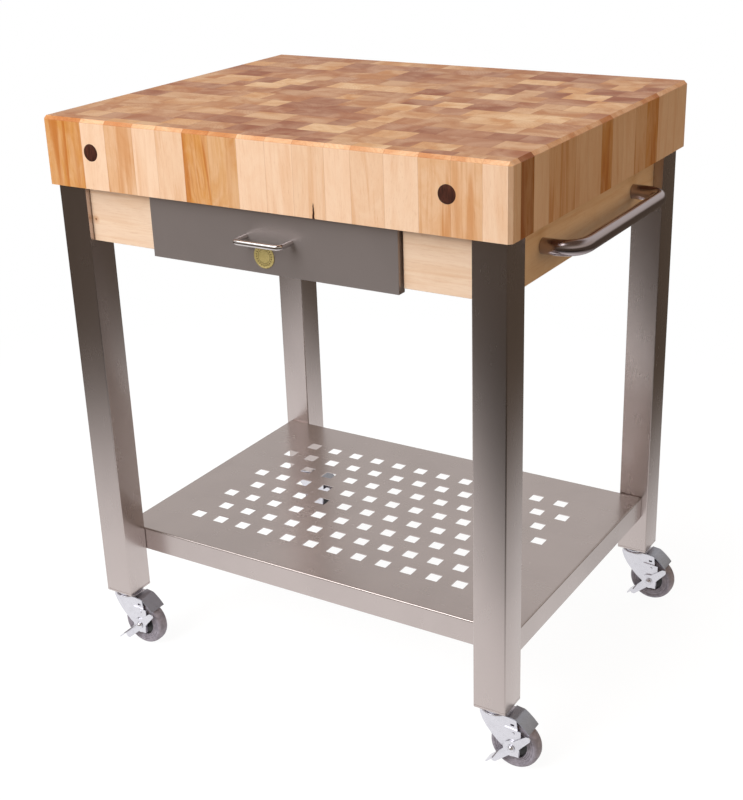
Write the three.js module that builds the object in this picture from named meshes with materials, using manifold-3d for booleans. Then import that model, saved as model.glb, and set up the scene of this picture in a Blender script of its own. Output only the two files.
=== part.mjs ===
// A kitchen island cart: a thick end-grain butcher block on four square steel legs, with maple
// aprons, a steel drawer, a towel bar, a perforated steel shelf and four braked swivel casters.
//
// Millimetres, +Z up, +X along the front to the right, +Y towards the back. The pieces are laid
// out with the block centred on X = Y = 0 and the floor at Z = 0, and the last lines move the
// whole cart so that the centre of its footprint is the origin.

import * as THREE from 'three';
import { mergeVertices } from 'three/addons/utils/BufferGeometryUtils.js';
import Module from 'manifold-3d';

const wasm = await Module();
wasm.setup();

// ---- driving dimensions ----------------------------------------------------------------------

const gap = 0.3; // left between pieces that touch
const sheet = 1.5; // thickness of the folded steel sheet

const blockWidth = 762;
const blockDepth = 609.6;
const blockThickness = 101.6;
const blockChamfer = 5;

const legSize = 50.8;
const legWall = 1.6;
const legInset = 9.6; // from the block's faces to the legs' outer faces
const legLength = 695;
const legEndPlate = 3;

const rodRadius = 6;
const rodNutRadius = 11;
const rodNutLength = 9;
const rodFromCentre = 292; // the two tie rods' distance from the block's middle
const rodDepth = 47.6; // the rods' axis below the top
const plugRadius = 12.7;
const plugThickness = 12;

const apronHeight = 84;
const apronThickness = 19;
const frontApronSetback = 9.4; // behind the legs' front faces
const sideApronSetback = 16.8; // inside the legs' outer faces

const drawerShift = 7; // the drawer hangs a little right of the middle
const drawerOpening = 419; // between the two short front aprons
const drawerFrontClearance = 3; // at each side of the drawer's front
const drawerFrontHeight = 89;
const drawerFrontReturn = 15; // depth of the front's folded edges
const drawerFrontProud = 7.5; // the front's face ahead of the aprons' faces
const drawerTopClearance = 2.6; // under the block
const drawerPanHeight = 74;
const drawerPanLength = 440;
const runnerHeight = 14;
const runnerLip = 13; // width of the pan's flanges and the runners' lips
const runnerLength = 460;
const runnerClearance = 3.7; // between each runner and the opening's edge

const handleSpacing = 76;
const handleRadius = 4;
const handleReach = 29; // from the drawer's face to the bar's axis
const handleBend = 9;
const handleDepth = 39; // the bar's axis below the drawer front's top edge
const handleScrewRadius = 2;
const badgeRadius = 17;
const badgeThickness = 0.8;
const badgeFromMiddle = -8.5; // sideways from the drawer's middle
const badgeDepth = 64; // the badge's middle below the drawer front's top edge

const barRadius = 11.1;
const barSpacing = 318;
const barReach = 51; // from the side apron to the bar's axis
const barBend = 36;
const barDepth = 42; // the bar's axis below the block
const barBoltRadius = 3.2;

const shelfEndSetback = 10.6; // of the shelf's ends inside the legs' outer faces
const shelfAboveLegEnd = 105; // the shelf's top above the legs' lower ends
const shelfFlange = 38.5;
const holeSize = 21;
const holeRows = 8;
const holesInLongRow = 13;
const holesFromEnd = 88.4; // from the shelf's ends to the middles of the outermost holes
const holesFromFront = 85.2; // the same from its front and back
const shelfBoltRadius = 3.8;

const casterTrail = 32; // from the swivel axis to the wheel's axle
const wheelRadius = 38.1;
const wheelWidth = 21;
const coreRadius = 26;
const hubHalfWidth = 12.2;
const axleRadius = 4;
const forkInside = 26; // between the fork's two legs
const forkSheet = 2;
const forkLegEndRadius = 12;
const crownRadius = 22;
const crownThickness = 2.4;
const crownAboveWheel = 8.4;
const crownFront = 38; // how far the crown reaches past the swivel axis, towards the wheel
const raceHeight = 4;
const kingpinRadius = 5;
const kingpinHeadRadius = 8;
const stemLength = 30; // of the stem inside the leg
const bracketSheet = 1.6;
const bracketBelowShoe = 5.2; // from the bracket's upper corner up to the shoe
const leverSheet = 2;
const leverHubRadius = 13;
const leverArmWidth = 14;
const pedalAngle = 223; // degrees from +X, turning towards +Z
const pedalPastRim = 4.9; // the pedal's length over the wheel's radius
const pedalTipWidth = 11;
const padStart = 26; // from the axle to the foot pad on the pedal's upper edge
const padReach = 15; // how far the pad stands out sideways
const camAngle = 43;
const camPastRim = 0.9; // the cam's length over the wheel's radius
const camTipWidth = 9;
const shoeSheet = 1.6;
const shoeClearance = 0.7; // between the shoe and the tyre
const shoeHalfWidth = 16;
const shoeFromCrown = 2.07; // the shoe's curved plate begins this far ahead of the crown's edge
const shoeEnd = 46; // degrees round the axle, where it ends

// ---- places worked out from the driving dimensions --------------------------------------------

const crownUnder = wheelRadius * 2 + crownAboveWheel;
const crownTop = crownUnder + crownThickness;
const lowerRaceTop = crownTop + raceHeight - gap;
const upperRaceBottom = lowerRaceTop + gap;
const forkLegOuter = forkInside / 2 + forkSheet;
const bracketOuter = forkLegOuter + bracketSheet;
const leverInner = bracketOuter + gap;
const leverOuter = leverInner + leverSheet;
const shoeRadius = wheelRadius + shoeClearance;
const bracketReach = forkLegEndRadius + 2; // of the bracket past the axle
const bracketTop = wheelRadius + Math.sqrt(shoeRadius ** 2 - bracketReach ** 2) - bracketBelowShoe;
const pedalLength = wheelRadius + pedalPastRim;
const camLength = wheelRadius + camPastRim;

const legBottom = upperRaceBottom + raceHeight + gap;
const blockBottom = legBottom + legLength;
const blockTop = blockBottom + blockThickness;
const legX = blockWidth / 2 - legInset - legSize / 2;
const legY = blockDepth / 2 - legInset - legSize / 2;
const legFrontFace = -(legY + legSize / 2);
const betweenLegsX = legX - legSize / 2;
const betweenLegsY = legY - legSize / 2;

const frontApronFace = legFrontFace + frontApronSetback;
const sideApronFace = legX + legSize / 2 - sideApronSetback;
const apronTop = blockBottom - gap;
const apronBottom = blockBottom - apronHeight;

const drawerFace = frontApronFace - drawerFrontProud;
const drawerTop = blockBottom - drawerTopClearance;
const panFront = drawerFace + sheet + gap;
const handleZ = drawerTop - handleDepth;
const drawerFrontWidth = drawerOpening - 2 * drawerFrontClearance;
const runnerOutside = drawerOpening / 2 - runnerClearance;
const drawerPanWidth = 2 * (runnerOutside - sheet - gap - runnerLip);
const barZ = blockBottom - barDepth;

const shelfTop = legBottom + shelfAboveLegEnd;
const shelfWidth = 2 * (legX + legSize / 2 - shelfEndSetback);
const shelfDepth = 2 * (betweenLegsY - gap);
const holePitchX = (shelfWidth - 2 * holesFromEnd) / (holesInLongRow - 1);
const holePitchY = (shelfDepth - 2 * holesFromFront) / (holeRows - 1);
const shelfBoltZ = shelfTop - shelfFlange / 2;

// ---- finishes --------------------------------------------------------------------------------

function finish(color, roughness, metalness) {
  return new THREE.MeshStandardMaterial({ color, roughness, metalness });
}

const maple = finish(0xe0bd92, 0.55, 0);
const walnut = finish(0x4a2c1c, 0.5, 0);
const brushedSteel = finish(0x9b9490, 0.35, 1);
const polishedSteel = finish(0xd0cfce, 0.15, 1);
const zinc = finish(0xc4c6cc, 0.3, 1);
const greyRubber = finish(0x77727a, 0.85, 0);
const blackPlastic = finish(0x1c1a1c, 0.6, 0);
const gilt = finish(0xb9932f, 0.4, 1);

// ---- geometry helpers ------------------------------------------------------------------------

// A box between two values on each axis.
function boxBetween([x0, x1], [y0, y1], [z0, z1]) {
  const box = new THREE.BoxGeometry(x1 - x0, y1 - y0, z1 - z0);
  return box.translate((x0 + x1) / 2, (y0 + y1) / 2, (z0 + z1) / 2);
}

// A turned piece about Z. The profile lists [radius, height] from the bottom up.
function turned(profile, sides) {
  const points = profile.map(([radius, height]) => new THREE.Vector2(radius, height));
  return new THREE.LatheGeometry(points, sides).rotateX(Math.PI / 2);
}

// The same, about Y, with the heights becoming values of Y.
function turnedAboutY(profile, sides) {
  const points = profile.map(([radius, along]) => new THREE.Vector2(radius, along));
  return new THREE.LatheGeometry(points, sides);
}

// The same, about X.
function turnedAboutX(profile, sides) {
  return turnedAboutY(profile, sides).rotateZ(-Math.PI / 2);
}

// A plain round bar about Y, between two values of Y.
function barAlongY(radius, [y0, y1], sides) {
  return turnedAboutY([[0, y0], [radius, y0], [radius, y1], [0, y1]], sides);
}

// A plain round bar about Z, between two heights.
function barAlongZ(radius, [z0, z1], sides) {
  return turned([[0, z0], [radius, z0], [radius, z1], [0, z1]], sides);
}

// An outline drawn in X and Z, made solid between two values of Y.
function plateInXZ(outline, [y0, y1]) {
  const options = { depth: y1 - y0, bevelEnabled: false, curveSegments: 5 };
  return new THREE.ExtrudeGeometry(outline, options).rotateX(Math.PI / 2).translate(0, y1, 0);
}

// An outline drawn in X and Y, made solid between two heights.
function plateInXY(outline, [z0, z1]) {
  const options = { depth: z1 - z0, bevelEnabled: false, curveSegments: 6 };
  return new THREE.ExtrudeGeometry(outline, options).translate(0, 0, z0);
}

function outlineOf(points) {
  return new THREE.Shape(points.map(([x, y]) => new THREE.Vector2(x, y)));
}

function toSolid(geometry) {
  const bare = geometry.clone();
  bare.deleteAttribute('normal');
  bare.deleteAttribute('uv');
  const merged = mergeVertices(bare, 1e-4);
  return new wasm.Manifold(new wasm.Mesh({
    numProp: 3,
    vertProperties: new Float32Array(merged.attributes.position.array),
    triVerts: new Uint32Array(merged.index.array),
  }));
}

function toGeometry(solid) {
  const { vertProperties, triVerts } = solid.getMesh();
  const geometry = new THREE.BufferGeometry();
  geometry.setAttribute('position', new THREE.BufferAttribute(vertProperties, 3));
  geometry.setIndex(new THREE.BufferAttribute(triVerts, 1));
  geometry.computeVertexNormals();
  return geometry;
}

function joined(...geometries) {
  return toGeometry(geometries.map(toSolid).reduce((all, next) => all.add(next)));
}

function cut(geometry, ...cutters) {
  return toGeometry(cutters.map(toSolid).reduce((left, next) => left.subtract(next), toSolid(geometry)));
}

function common(...geometries) {
  return toGeometry(geometries.map(toSolid).reduce((all, next) => all.intersect(next)));
}

// A path that leaves a face at one foot, runs out, bends, runs along and comes back to the other
// foot. It is drawn in a plane: "along" is the spacing's direction and "out" the way it stands.
function bridgePath(foot, along, out, spacing, reach, bend) {
  const path = new THREE.CurvePath();
  const place = (a, o) => foot.clone().addScaledVector(along, a).addScaledVector(out, o);
  const half = spacing / 2;
  path.add(new THREE.LineCurve3(place(-half, 0), place(-half, reach - bend)));
  path.add(new THREE.QuadraticBezierCurve3(
    place(-half, reach - bend), place(-half, reach), place(-half + bend, reach)));
  path.add(new THREE.LineCurve3(place(-half + bend, reach), place(half - bend, reach)));
  path.add(new THREE.QuadraticBezierCurve3(
    place(half - bend, reach), place(half, reach), place(half, reach - bend)));
  path.add(new THREE.LineCurve3(place(half, reach - bend), place(half, 0)));
  return path;
}

// A round bar swept along a path that lies in one plane.
function roundBar(path, radius, sides, steps) {
  const section = new THREE.Shape();
  section.absarc(0, 0, radius, 0, 2 * Math.PI);
  const options = { steps, extrudePath: path, bevelEnabled: false, curveSegments: sides };
  return new THREE.ExtrudeGeometry(section, options);
}

// ---- the cart --------------------------------------------------------------------------------

const cart = new THREE.Group();

function place(name, geometry, material, x = 0, y = 0, z = 0) {
  const mesh = new THREE.Mesh(geometry, material);
  mesh.name = name;
  mesh.position.set(x, y, z);
  cart.add(mesh);
}

// ---- butcher block, with its two tie rods and the plugs that hide their ends ----------------

function chamferedTop(halfWidth) {
  return [
    [-halfWidth, blockBottom],
    [halfWidth, blockBottom],
    [halfWidth, blockTop - blockChamfer],
    [halfWidth - blockChamfer, blockTop],
    [-halfWidth + blockChamfer, blockTop],
    [-halfWidth, blockTop - blockChamfer],
  ];
}

function butcherBlock() {
  const halfX = blockWidth / 2;
  const halfY = blockDepth / 2;
  const alongDepth = plateInXZ(outlineOf(chamferedTop(halfX)), [-halfY, halfY]);
  const alongWidth = plateInXZ(outlineOf(chamferedTop(halfY)), [-halfX, halfX]).rotateZ(Math.PI / 2);
  const corners = [[1, 1], [-1, 1], [-1, -1], [1, -1]].flatMap(([sx, sy]) => {
    const nearY = [sx * halfX, sy * (halfY - blockChamfer)];
    const nearX = [sx * (halfX - blockChamfer), sy * halfY];
    return sx === sy ? [nearY, nearX] : [nearX, nearY];
  });
  const plan = plateInXY(outlineOf(corners), [blockBottom, blockTop]);
  const block = common(alongDepth, alongWidth, plan);
  const pocket = plugThickness + rodNutLength + 2 * gap;
  const bores = [-1, 1].flatMap((side) => {
    const at = (geometry) => geometry.translate(side * rodFromCentre, 0, blockTop - rodDepth);
    return [
      at(barAlongY(rodRadius + gap, [-halfY, halfY], 12)),
      at(barAlongY(plugRadius, [-halfY - 1, -halfY + pocket], 20)),
      at(barAlongY(plugRadius, [halfY - pocket, halfY + 1], 20)),
    ];
  });
  return cut(block, ...bores);
}

function tieRod() {
  const end = blockDepth / 2 - plugThickness - gap;
  const nut = end - rodNutLength;
  return turnedAboutY([
    [0, -end], [rodNutRadius, -end], [rodNutRadius, -nut], [rodRadius, -nut],
    [rodRadius, nut], [rodNutRadius, nut], [rodNutRadius, end], [0, end],
  ], 12);
}

place('butcher_block', butcherBlock(), maple);
for (const [side, sign] of [['left', -1], ['right', 1]]) {
  const x = sign * rodFromCentre;
  const z = blockTop - rodDepth;
  place(`tie_rod_${side}`, tieRod(), zinc, x, 0, z);
  const plug = barAlongY(plugRadius - gap, [0, plugThickness], 20);
  place(`front_plug_${side}`, plug, walnut, x, -blockDepth / 2, z);
  place(`back_plug_${side}`, plug, walnut, x, blockDepth / 2 - plugThickness, z);
}

// ---- legs: square tubes with a plate welded in the lower end ----------------------------------

// The shelf's bolt goes through the tube's wall on the side that faces the shelf.
function leg(shelfSide) {
  const half = legSize / 2;
  const inside = half - legWall;
  const tube = boxBetween([-half, half], [-half, half], [legBottom, blockBottom - gap]);
  const hollow = boxBetween([-inside, inside], [-inside, inside], [legBottom + legEndPlate, blockBottom]);
  const stemHole = barAlongZ(kingpinRadius + gap, [legBottom - 1, legBottom + legEndPlate + 1], 12);
  const wall = shelfSide > 0 ? [inside - 1, half + 1] : [-half - 1, -inside + 1];
  const boltHole = barAlongY(shelfBoltRadius + gap, wall, 10).translate(0, 0, shelfBoltZ);
  return cut(tube, hollow, stemHole, boltHole);
}

const corners = [
  ['front_left', -legX, -legY],
  ['front_right', legX, -legY],
  ['back_left', -legX, legY],
  ['back_right', legX, legY],
];
for (const [corner, x, y] of corners) {
  place(`leg_${corner}`, leg(-Math.sign(y)), brushedSteel, x, y);
}

// ---- aprons: maple boards between the legs ---------------------------------------------------

const apronZ = [apronBottom, apronTop];
const frontApronY = [frontApronFace, frontApronFace + apronThickness];
const apronEndX = betweenLegsX - gap;
const apronEndY = betweenLegsY - gap;
const openingLeft = drawerShift - drawerOpening / 2;
const openingRight = drawerShift + drawerOpening / 2;

function sideApron(sign, boltHoles) {
  const faces = [sign * (sideApronFace - apronThickness), sign * sideApronFace].sort((a, b) => a - b);
  const board = boxBetween(faces, [-apronEndY, apronEndY], apronZ);
  return boltHoles.length ? cut(board, ...boltHoles) : board;
}

const barBoltHoles = [-1, 1].map((side) => {
  const reach = [sideApronFace - apronThickness - 1, sideApronFace + 1];
  const hole = turnedAboutX([
    [0, reach[0]], [barBoltRadius + gap, reach[0]], [barBoltRadius + gap, reach[1]], [0, reach[1]],
  ], 10);
  return hole.translate(0, side * barSpacing / 2, barZ);
});

place('front_apron_left', boxBetween([-apronEndX, openingLeft], frontApronY, apronZ), maple);
place('front_apron_right', boxBetween([openingRight, apronEndX], frontApronY, apronZ), maple);
const backApronY = [-frontApronY[1], -frontApronY[0]];
place('back_apron', boxBetween([-apronEndX, apronEndX], backApronY, apronZ), maple);
place('side_apron_left', sideApron(-1, []), maple);
place('side_apron_right', sideApron(1, barBoltHoles), maple);

// ---- drawer: a steel pan with side flanges that slide in two runners hung under the block ------

function screwHoles([y0, y1]) {
  return [-1, 1].map((side) => (
    barAlongY(handleScrewRadius + gap, [y0, y1], 8).translate(side * handleSpacing / 2, 0, handleZ)
  ));
}

function drawerFront() {
  const half = drawerFrontWidth / 2;
  const back = drawerFace + drawerFrontReturn;
  const bottom = drawerTop - drawerFrontHeight;
  const shell = boxBetween([-half, half], [drawerFace, back], [bottom, drawerTop]);
  const inside = boxBetween(
    [-half + sheet, half - sheet], [drawerFace + sheet, back + 1], [bottom + sheet, drawerTop - sheet]);
  return cut(shell, inside, ...screwHoles([drawerFace - 1, drawerFace + sheet + 1]));
}

const runnerTop = blockBottom - gap;
const flangeUnder = runnerTop - runnerHeight + sheet + gap;
const panTop = flangeUnder + sheet;
const panBottom = panTop - drawerPanHeight;

function drawerPan() {
  const half = drawerPanWidth / 2;
  const frontEnd = panFront + drawerFrontReturn;
  const backEnd = panFront + drawerPanLength;
  const tray = boxBetween([-half, half], [panFront, backEnd], [panBottom, panTop]);
  const flanges = boxBetween(
    [-half - runnerLip, half + runnerLip], [frontEnd, backEnd], [flangeUnder, panTop]);
  const inside = boxBetween(
    [-half + sheet, half - sheet], [panFront + sheet, backEnd - sheet], [panBottom + sheet, panTop + 1]);
  return cut(joined(tray, flanges), inside, ...screwHoles([panFront - 1, panFront + sheet + 1]));
}

// A runner is a channel whose open side faces the drawer. Its lower lip carries the pan's flange.
function drawerRunner(sign) {
  const outer = runnerOutside;
  const inner = outer - sheet;
  const lipEdge = drawerPanWidth / 2 + gap + sheet;
  const bottom = runnerTop - runnerHeight;
  const section = [
    [outer, bottom], [outer, runnerTop], [lipEdge, runnerTop], [lipEdge, runnerTop - sheet],
    [inner, runnerTop - sheet], [inner, bottom + sheet], [lipEdge, bottom + sheet], [lipEdge, bottom],
  ];
  const mirrored = section.map(([x, z]) => [sign * x, z]);
  const start = frontApronY[1] + 2;
  return plateInXZ(outlineOf(mirrored), [start, start + runnerLength]);
}

function drawerHandle() {
  const foot = new THREE.Vector3(0, drawerFace - gap, handleZ);
  const along = new THREE.Vector3(1, 0, 0);
  const out = new THREE.Vector3(0, -1, 0);
  const path = bridgePath(foot, along, out, handleSpacing, handleReach - gap, handleBend);
  const bar = roundBar(path, handleRadius, 4, 22);
  return cut(bar, ...screwHoles([drawerFace - 10, drawerFace + 1]));
}

function handleScrew() {
  const headBack = panFront + sheet + gap + 3;
  return turnedAboutY([
    [0, drawerFace - 9], [handleScrewRadius, drawerFace - 9], [handleScrewRadius, headBack - 3],
    [handleScrewRadius * 2, headBack - 3], [handleScrewRadius * 2, headBack], [0, headBack],
  ], 8);
}

place('drawer_front', drawerFront(), brushedSteel, drawerShift);
place('drawer_pan', drawerPan(), brushedSteel, drawerShift);
place('drawer_handle', drawerHandle(), polishedSteel, drawerShift);
const badge = barAlongY(badgeRadius, [-badgeThickness, 0], 24);
place('drawer_badge', badge, gilt, drawerShift + badgeFromMiddle, drawerFace - gap, drawerTop - badgeDepth);
for (const [side, sign] of [['left', -1], ['right', 1]]) {
  place(`drawer_runner_${side}`, drawerRunner(sign), brushedSteel, drawerShift);
  const x = drawerShift + sign * handleSpacing / 2;
  place(`handle_screw_${side}`, handleScrew(), zinc, x, 0, handleZ);
}

// ---- towel bar on the right side -------------------------------------------------------------

const barBoltGrip = 14; // of the bolt's thread inside the bar's end

function towelBar() {
  const foot = new THREE.Vector3(sideApronFace + gap, 0, barZ);
  const along = new THREE.Vector3(0, 1, 0);
  const out = new THREE.Vector3(1, 0, 0);
  const path = bridgePath(foot, along, out, barSpacing, barReach - gap, barBend);
  const bar = roundBar(path, barRadius, 6, 24);
  const end = sideApronFace + gap + barBoltGrip + gap;
  const holes = [-1, 1].map((side) => turnedAboutX([
    [0, sideApronFace - 1], [barBoltRadius + gap, sideApronFace - 1], [barBoltRadius + gap, end], [0, end],
  ], 10).translate(0, side * barSpacing / 2, barZ));
  return cut(bar, ...holes);
}

function towelBarBolt() {
  const headFace = sideApronFace - apronThickness - gap;
  const tip = sideApronFace + barBoltGrip;
  return turnedAboutX([
    [0, headFace - 4], [barBoltRadius * 2, headFace - 4], [barBoltRadius * 2, headFace],
    [barBoltRadius, headFace], [barBoltRadius, tip], [0, tip],
  ], 10);
}

place('towel_bar', towelBar(), polishedSteel);
place('towel_bar_bolt_front', towelBarBolt(), zinc, 0, -barSpacing / 2, barZ);
place('towel_bar_bolt_back', towelBarBolt(), zinc, 0, barSpacing / 2, barZ);

// ---- shelf: an upside-down steel tray with staggered square holes ----------------------------

function shelfHoles() {
  const half = holeSize / 2;
  const holes = [];
  for (let row = 0; row < holeRows; row += 1) {
    const count = row % 2 === 0 ? holesInLongRow : holesInLongRow - 1;
    const y = (row - (holeRows - 1) / 2) * holePitchY;
    for (let column = 0; column < count; column += 1) {
      const x = (column - (count - 1) / 2) * holePitchX;
      const depth = [shelfTop - sheet - 1, shelfTop + 1];
      holes.push(boxBetween([x - half, x + half], [y - half, y + half], depth));
    }
  }
  return holes;
}

function shelf() {
  const halfX = shelfWidth / 2;
  const halfY = shelfDepth / 2;
  const bottom = shelfTop - shelfFlange;
  const tray = boxBetween([-halfX, halfX], [-halfY, halfY], [bottom, shelfTop]);
  const underside = boxBetween(
    [-halfX + sheet, halfX - sheet], [-halfY + sheet, halfY - sheet], [bottom - 1, shelfTop - sheet]);
  const boltHoles = corners.map(([, x, y]) => {
    const wall = y < 0 ? [-halfY - 1, -halfY + sheet + 1] : [halfY - sheet - 1, halfY + 1];
    return barAlongY(shelfBoltRadius + gap, wall, 10).translate(x, 0, shelfBoltZ);
  });
  return cut(tray, underside, ...shelfHoles(), ...boltHoles);
}

// The bolt's head is inside the shelf's flange and its nut is inside the leg.
function shelfBolt() {
  const head = 4;
  const nut = 5;
  const grip = sheet + gap + legWall;
  return turnedAboutY([
    [0, -head - gap], [shelfBoltRadius * 1.8, -head - gap], [shelfBoltRadius * 1.8, -gap],
    [shelfBoltRadius, -gap], [shelfBoltRadius, grip + gap], [shelfBoltRadius * 1.8, grip + gap],
    [shelfBoltRadius * 1.8, grip + gap + nut], [0, grip + gap + nut],
  ], 10);
}

place('shelf', shelf(), brushedSteel);
for (const [corner, x, y] of corners) {
  const bolt = shelfBolt();
  if (y < 0) bolt.rotateZ(Math.PI);
  place(`shelf_bolt_${corner}`, bolt, zinc, x, Math.sign(y) * (shelfDepth / 2 - sheet), shelfBoltZ);
}

// ---- casters ---------------------------------------------------------------------------------
// Each is drawn about its own swivel axis, with the wheel trailing towards +X.

function casterStem() {
  const headTop = crownUnder - gap;
  return turned([
    [0, headTop - 3], [kingpinHeadRadius, headTop - 3], [kingpinHeadRadius, headTop],
    [kingpinRadius, headTop], [kingpinRadius, upperRaceBottom],
    [crownRadius - 3, upperRaceBottom], [crownRadius - 1.5, legBottom - gap],
    [kingpinRadius, legBottom - gap], [kingpinRadius, legBottom + stemLength], [0, legBottom + stemLength],
  ], 12);
}

// One leg of the fork in X and Z: wide under the crown and narrowing to a round end at the axle.
function forkLegOutline() {
  const outline = new THREE.Shape();
  const side = forkLegEndRadius;
  outline.moveTo(crownFront, crownTop);
  outline.lineTo(-crownRadius + 2, crownTop);
  outline.lineTo(-crownRadius + 2, crownUnder - 2);
  outline.quadraticCurveTo(
    -crownRadius * 0.6, wheelRadius * 1.5, casterTrail - side * 0.8, wheelRadius - side * 0.6);
  outline.absarc(casterTrail, wheelRadius, side, Math.PI * 1.2, Math.PI * 1.95, false);
  outline.lineTo(crownFront + 2, crownUnder - 14);
  outline.closePath();
  return outline;
}

function bracketOutline() {
  const left = casterTrail - forkLegEndRadius;
  const right = casterTrail + bracketReach;
  return outlineOf([
    [left, wheelRadius - forkLegEndRadius], [right - 2, wheelRadius - forkLegEndRadius],
    [right, wheelRadius + 10], [right, bracketTop], [left, bracketTop + 2],
  ]);
}

function casterFork() {
  const crownDisc = barAlongZ(crownRadius, [crownUnder, crownTop], 16);
  const crownPlate = boxBetween([0, crownFront], [-forkLegOuter, forkLegOuter], [crownUnder, crownTop]);
  const race = barAlongZ(crownRadius - 2, [crownTop - 0.5, lowerRaceTop], 16);
  const legs = [-1, 1].map((side) => {
    const faces = [side * forkInside / 2, side * forkLegOuter].sort((a, b) => a - b);
    return plateInXZ(forkLegOutline(), faces);
  });
  const bracket = plateInXZ(bracketOutline(), [-bracketOuter, -forkLegOuter + 0.5]);
  const rivet = barAlongY(2.4, [-bracketOuter - 1, -bracketOuter + 0.5], 8)
    .translate(casterTrail + 2, 0, bracketTop - 6);
  const slot = boxBetween(
    [casterTrail - 3, casterTrail + 3], [-forkLegOuter - 3, -forkInside / 2 + 1],
    [crownUnder - 10, crownUnder - 7]);
  const kingpinHole = barAlongZ(kingpinRadius + gap, [crownUnder - 1, lowerRaceTop + 1], 12);
  const axleHole = barAlongY(axleRadius + gap, [-bracketOuter - 1, forkLegOuter + 1], 12)
    .translate(casterTrail, 0, wheelRadius);
  return cut(joined(crownDisc, crownPlate, race, ...legs, bracket, rivet), slot, kingpinHole, axleHole);
}

function wheelCore() {
  const bore = axleRadius + gap;
  const face = wheelWidth / 2 - 2.5;
  return turnedAboutY([
    [bore, -hubHalfWidth], [10, -hubHalfWidth], [12, -face], [coreRadius, -face],
    [coreRadius, face], [12, face], [10, hubHalfWidth], [bore, hubHalfWidth], [bore, -hubHalfWidth],
  ], 14);
}

function wheelTread() {
  const inner = coreRadius + gap;
  const half = wheelWidth / 2;
  return turnedAboutY([
    [inner, -half + 1.5], [wheelRadius - 6, -half], [wheelRadius - 2, -half + 2], [wheelRadius, -half + 6],
    [wheelRadius, half - 6], [wheelRadius - 2, half - 2], [wheelRadius - 6, half], [inner, half - 1.5],
    [inner, -half + 1.5],
  ], 24);
}

// The axle bolt, its head at the back and its domed nut outside the brake lever.
function wheelAxle() {
  const nutFace = -leverOuter - gap;
  const headFace = forkLegOuter + gap;
  return turnedAboutY([
    [0, nutFace - 5], [3, nutFace - 4.5], [5.5, nutFace - 2.5], [6.3, nutFace], [axleRadius, nutFace],
    [axleRadius, headFace], [6.5, headFace], [6.5, headFace + 4], [0, headFace + 4],
  ], 12);
}

// A flat arm that leaves the axle at an angle. Its outline lists [distance along, distance aside].
function armPlate(angle, outline, faces) {
  const turn = THREE.MathUtils.degToRad(angle);
  const across = outlineOf(outline);
  return plateInXZ(across, faces).rotateY(-turn).translate(casterTrail, 0, wheelRadius);
}

function taperedArm(length, rootWidth, tipWidth) {
  const blunt = 3;
  return [
    [0, -rootWidth / 2], [length - blunt, -tipWidth / 2], [length, -tipWidth / 2 + blunt],
    [length, tipWidth / 2 - blunt], [length - blunt, tipWidth / 2], [0, rootWidth / 2],
  ];
}

function brakeLever() {
  const faces = [-leverOuter, -leverInner];
  const hub = barAlongY(leverHubRadius, faces, 16).translate(casterTrail, 0, wheelRadius);
  const cam = armPlate(camAngle, taperedArm(camLength, leverArmWidth + 2, camTipWidth), faces);
  const pedal = armPlate(pedalAngle, taperedArm(pedalLength, leverArmWidth, pedalTipWidth), faces);
  const padEdge = -leverArmWidth / 2 + 0.6;
  const padOutline = [
    [padStart, padEdge], [pedalLength - 3, padEdge], [pedalLength - 3, padEdge + leverSheet],
    [padStart, padEdge + leverSheet],
  ];
  const pad = armPlate(pedalAngle, padOutline, [-leverOuter - padReach, -leverInner - 0.2]);
  const skirt = boxBetween(
    [casterTrail - 8, casterTrail + 12], faces, [wheelRadius - leverHubRadius + 1, wheelRadius]);
  const hole = barAlongY(axleRadius + gap, [-leverOuter - 1, -leverInner + 1], 12)
    .translate(casterTrail, 0, wheelRadius);
  return cut(joined(hub, cam, skirt, pedal, pad), hole);
}

// The shoe: a strap lying on the crown that steps down to a curved plate over the tyre.
function brakeShoe() {
  const outer = shoeRadius + shoeSheet;
  const start = Math.acos((crownFront + shoeFromCrown - casterTrail) / shoeRadius);
  const end = THREE.MathUtils.degToRad(shoeEnd);
  const strapStart = crownRadius + 2;
  const strapUnder = crownTop + gap;
  const outline = new THREE.Shape();
  outline.moveTo(strapStart, strapUnder);
  outline.lineTo(crownFront + 1, strapUnder);
  outline.lineTo(crownFront + 1, strapUnder - 5);
  outline.absarc(casterTrail, wheelRadius, shoeRadius, start, end, true);
  outline.absarc(casterTrail, wheelRadius, outer, end, start - 0.15, false);
  outline.lineTo(crownFront + 1 + shoeSheet, strapUnder + shoeSheet);
  outline.lineTo(strapStart, strapUnder + shoeSheet);
  outline.closePath();
  return plateInXZ(outline, [-shoeHalfWidth, shoeHalfWidth]);
}

for (const [corner, x, y] of corners) {
  place(`caster_stem_${corner}`, casterStem(), zinc, x, y);
  place(`caster_fork_${corner}`, casterFork(), zinc, x, y);
  place(`wheel_axle_${corner}`, wheelAxle(), zinc, x + casterTrail, y, wheelRadius);
  place(`wheel_core_${corner}`, wheelCore(), blackPlastic, x + casterTrail, y, wheelRadius);
  place(`wheel_tread_${corner}`, wheelTread(), greyRubber, x + casterTrail, y, wheelRadius);
  place(`brake_lever_${corner}`, brakeLever(), zinc, x, y);
  place(`brake_shoe_${corner}`, brakeShoe(), zinc, x, y);
}

// ---- origin: on the floor, under the centre of the footprint ----------------------------------

const footprint = new THREE.Box3().setFromObject(cart);
const centre = footprint.getCenter(new THREE.Vector3());
cart.position.set(-centre.x, -centre.y, -footprint.min.z);

export default cart;
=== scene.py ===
"""The looks of a kitchen island cart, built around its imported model.

Lengths are metres, +Z up, +X along the front to the right, +Y towards the back. Places and
overall sizes come from the frame, and what a box can't tell, such as a bend or a chamfer, is a
named value here.
"""

import math
import random

import bmesh
import bpy
from mathutils import Matrix, Vector


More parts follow.
